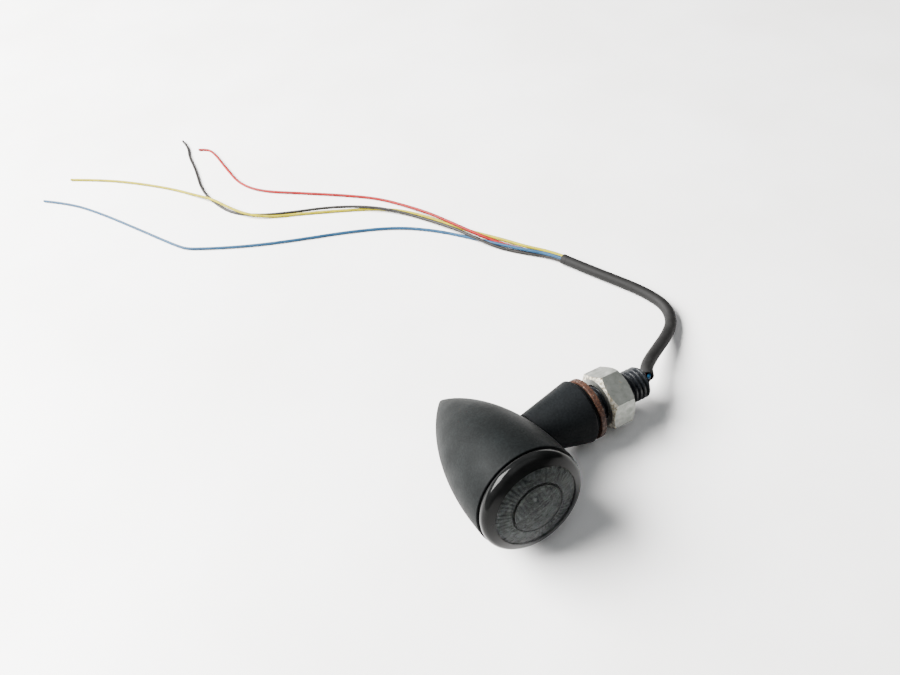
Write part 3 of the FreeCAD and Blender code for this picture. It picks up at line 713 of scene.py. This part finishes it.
# ---------------------------------------------------------------- sleeve and wires
# Routes are points of the cords' centre lines as they lie on the floor, mm, from the lamp outwards.
SLEEVE_ROUTE = [
    (36.7, 0.0, 8.4), (37.9, 1.9, 8.2), (41.6, 4.6, 7.2), (47.5, 7.9, 5.5), (55.0, 12.0, 3.3),
    (61.3, 16.7, 1.9), (64.3, 23.6, 1.9), (62.8, 32.1, 1.9), (59.8, 39.9, 1.9),
    (54.7, 51.4, 1.9), (50.1, 62.7, 1.9),
]
WIRE_ROUTES = {
    "yellow": [
        (50.7, 62.9, 2.5), (48.7, 67.8, 2.3), (42.9, 76.5, 1.9), (38.6, 85.8, 1.1),
        (32.8, 95.7, 0.6), (28.1, 103.7, 0.6), (23.9, 112.5, 0.6), (15.9, 125.9, 0.6),
        (5.4, 135.1, 0.6), (-8.1, 143.3, 0.6), (-20.1, 150.3, 0.6), (-30.6, 155.7, 0.7),
        (-38.6, 162.1, 1.8), (-43.7, 171.5, 2.0), (-47.8, 181.9, 2.0), (-53.1, 191.1, 1.0),
        (-60.6, 203.1, 0.6), (-72.6, 217.6, 0.6), (-86.1, 231.4, 0.6), (-98.9, 241.5, 0.6),
    ],
    "blue": [
        (49.5, 62.5, 2.5), (47.5, 67.3, 2.3), (41.2, 75.7, 1.9), (36.1, 83.7, 1.4),
        (29.7, 94.3, 0.6), (20.9, 106.3, 0.6), (9.4, 117.5, 0.6), (-7.1, 126.7, 0.6),
        (-25.6, 134.7, 0.6), (-40.1, 141.5, 0.6), (-51.7, 148.1, 0.6), (-60.7, 153.9, 0.6),
        (-66.5, 158.1, 0.6), (-69.4, 162.5, 0.6), (-73.5, 170.1, 0.6), (-80.3, 183.3, 0.6),
        (-92.1, 205.7, 0.6), (-102.6, 222.4, 0.6), (-112.7, 232.4, 0.6),
    ],
    "black": [
        (49.5, 62.5, 1.3), (47.5, 67.3, 1.1), (40.7, 75.4, 0.6), (34.7, 83.7, 0.7),
        (29.7, 93.5, 2.0), (26.3, 102.3, 1.9), (22.3, 111.7, 0.9), (14.9, 124.5, 1.0),
        (5.5, 134.9, 1.9), (-8.3, 145.2, 1.7), (-22.1, 152.9, 0.8), (-34.1, 159.7, 0.7),
        (-43.7, 168.9, 0.6), (-47.9, 181.1, 0.6), (-49.7, 194.1, 0.6), (-47.4, 210.6, 0.6),
        (-47.0, 223.1, 0.6), (-45.0, 231.1, 0.6), (-45.8, 238.1, 0.6),
    ],
    "red": [
        (50.7, 62.9, 1.3), (48.7, 67.7, 1.1), (42.5, 76.1, 0.6), (37.1, 84.7, 0.6),
        (31.5, 94.9, 1.8), (27.5, 105.1, 1.9), (23.1, 116.1, 1.9), (18.3, 127.3, 0.8),
        (10.9, 139.5, 0.6), (-0.1, 150.6, 0.6), (-14.4, 163.5, 0.6), (-28.1, 175.6, 0.6),
        (-34.1, 187.1, 0.6), (-35.3, 200.6, 0.6), (-35.9, 212.1, 0.6), (-36.6, 219.6, 0.6),
        (-38.2, 223.5, 0.6), (-41.5, 225.7, 0.6),
    ],
}
SHEATH_THICKNESS, SHEATH_TAPER = 3.95, 0.92         # at the lamp, and the far end's share of it
WIRE_THICKNESS, WIRE_TAPER = 1.22, 0.82
# Rings that make the sheath's cut ends: outer radius, inner radius, how far they stand proud.
MOUTH_RING = (2.08, 1.65, 1.0)
END_RING = (1.85, 1.5, 0.15)
RING_LENGTH = 2.0


def add_cord(name, route, diameter, last_share, material):
    """A round cord along one smooth NURBS line; its far end has last_share of the diameter."""
    curve = bpy.data.curves.new(name, "CURVE")
    curve.dimensions = "3D"
    curve.bevel_depth = diameter / 2 * MM
    curve.bevel_resolution = 8
    curve.resolution_u = 16
    curve.use_fill_caps = True
    spline = curve.splines.new("NURBS")
    spline.points.add(len(route) - 1)
    for step, (point, place) in enumerate(zip(spline.points, route)):
        point.co = (*(Vector(place) * MM), 1.0)
        point.radius = 1.0 + (last_share - 1.0) * step / (len(route) - 1)
    spline.order_u = 3
    spline.use_endpoint_u = True
    return add_object(name, curve, material)


def add_cut_end(name, end, inward, ring, material):
    """The cut end of the sheath: a short ring round the route's end, facing away from inward."""
    outer, inner, proud = ring
    end = Vector(end)
    outward = (end - Vector(inward)).normalized()
    turn = outward.to_track_quat("X", "Z").to_matrix().to_4x4()
    place = Matrix.Translation(end * MM) @ turn
    profile = softened([
        (proud - RING_LENGTH, inner, 0), (proud - RING_LENGTH, outer, 0),
        (proud, outer, 0.22), (proud, inner, 0.12),
    ])
    shape = turned(profile, along_x, segments=96)
    add_piece(name, shape, material, "lamp", crease=50, place=place)


def make_cords(sheath, insulation):
    """The sheath with its two cut ends, and the four wires beyond it."""
    sleeve = add_cord("cable_sheath", SLEEVE_ROUTE, SHEATH_THICKNESS, SHEATH_TAPER, sheath)
    add_cut_end("sheath_mouth", SLEEVE_ROUTE[0], SLEEVE_ROUTE[1], MOUTH_RING, sheath)
    add_cut_end("sheath_end", SLEEVE_ROUTE[-1], SLEEVE_ROUTE[-2], END_RING, sheath)
    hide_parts("cable_sleeve")
    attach(sleeve, "lamp")
    for colour, route in WIRE_ROUTES.items():
        wire = add_cord(f"tail_{colour}", route, WIRE_THICKNESS, WIRE_TAPER, insulation[colour])
        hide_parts(f"wire_{colour}")
        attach(wire, "lamp")


# ---------------------------------------------------------------- stage
FLOOR_HALF = 1.6                                    # m
FLOOR_DROP = 0.00002                                # keeps it just clear of what rests on it, m
LIT_POINT = (0.0, 0.05, 0.0)                        # the lights face this point, m
WINDOW_TINT, SKY_TINT, ROOM_TINT = (1.0, 0.992, 0.98), (0.96, 0.98, 1.0), (0.95, 0.97, 1.0, 1.0)
ROOM_STRENGTH = 0.11


def add_area(name, place, extent, power, tint):
    """A rectangular light that faces the lit point; place and extent in m, power in W."""
    data = bpy.data.lights.new(name, "AREA")
    data.shape = "RECTANGLE"
    data.size, data.size_y = extent
    data.energy = power
    data.color = tint
    light = bpy.data.objects.new(name, data)
    bpy.context.collection.objects.link(light)
    light.location = place
    facing = Vector(LIT_POINT) - Vector(place)
    light.rotation_euler = facing.to_track_quat("-Z", "Y").to_euler()


def add_stage():
    """A pale floor, a soft window light from the back left, a faint sky and a dim room."""
    mesh = bpy.data.meshes.new("worktop")
    shape = bmesh.new()
    bmesh.ops.create_grid(shape, x_segments=8, y_segments=8, size=FLOOR_HALF)
    bmesh.ops.translate(shape, verts=shape.verts, vec=(0, 0, -FLOOR_DROP))
    shape.to_mesh(mesh)
    shape.free()
    floor = add_object("worktop", mesh, pale_surface())
    add_area("window", place=(-0.52, 0.47, 0.60), extent=(0.70, 0.55), power=85.0, tint=WINDOW_TINT)
    add_area("sky", place=(0.15, -0.3, 0.95), extent=(0.9, 0.9), power=3.2, tint=SKY_TINT)
    world = bpy.data.worlds.new("room")
    world.use_nodes = True
    background = world.node_tree.nodes["Background"]
    background.inputs["Color"].default_value = ROOM_TINT
    background.inputs["Strength"].default_value = ROOM_STRENGTH
    bpy.context.scene.world = world


def repaint(node, material):
    """Gives a CAD node a procedural material."""
    nodes[node].data.materials.clear()
    nodes[node].data.materials.append(material)


# ---------------------------------------------------------------- the scene
add_camera()
insulation = {
    "yellow": soft_plastic("yellow_insulation", (0.21, 0.178, 0.0001), (0.29, 0.247, 0.0002), 0.55),
    "blue": soft_plastic("blue_insulation", (0.0065, 0.034, 0.074), (0.011, 0.051, 0.105), 0.45),
    "black": soft_plastic(
        "black_insulation", (0.009, 0.0080, 0.0074), (0.018, 0.0158, 0.0148), 0.45,
    ),
    "red": soft_plastic("red_insulation", (0.150, 0.0006, 0.0010), (0.215, 0.0012, 0.0016), 0.5),
}
sheath = soft_plastic("cable_sheath", (0.0052, 0.0051, 0.0050), (0.0090, 0.0088, 0.0087), 0.66, 0.8)
make_cords(sheath, insulation)

satin = coated_black("satin_black", (0.0015, 0.0019, 0.0020), (0.0036, 0.0045, 0.0046), 0.60)
arm_black = coated_black("arm_black", (0.0015, 0.0019, 0.0022), (0.0034, 0.0041, 0.0046), 0.62)
rubber = soft_plastic("black_rubber", grey(0.006), grey(0.012), 0.7)
make_housing(satin)
make_lens(smoke_rim(), smoke_window(), lens_optic(), groove_painted_shade(), moulded_spot(), rubber)
make_arm(arm_black)
make_stud(black_oxide())
make_washer(rusty_steel())
make_nut(dull_zinc(), worn_zinc())

repaint("reflector", plated("reflector_plating", (0.70, 0.70, 0.72), 0.15))
repaint("led_board", soft_plastic("solder_mask", (0.01, 0.07, 0.03), (0.015, 0.10, 0.045), 0.35))
repaint("board_screws", plated("screw_steel", (0.45, 0.45, 0.46), 0.35))
repaint("amber_leds", soft_plastic("amber_phosphor", (0.75, 0.38, 0.03), (0.85, 0.48, 0.05), 0.3))
repaint("running_leds", soft_plastic("pale_phosphor", (0.80, 0.76, 0.45), (0.90, 0.86, 0.55), 0.3))
component = soft_plastic("moulded_component", (0.012, 0.012, 0.013), (0.02, 0.02, 0.021), 0.5)
for name in ("resistors", "driver_chip", "polarity_diode"):
    repaint(name, component)
repaint("wire_seal", rubber)
for colour, material in insulation.items():
    repaint(f"lead_{colour}", material)

add_stage()
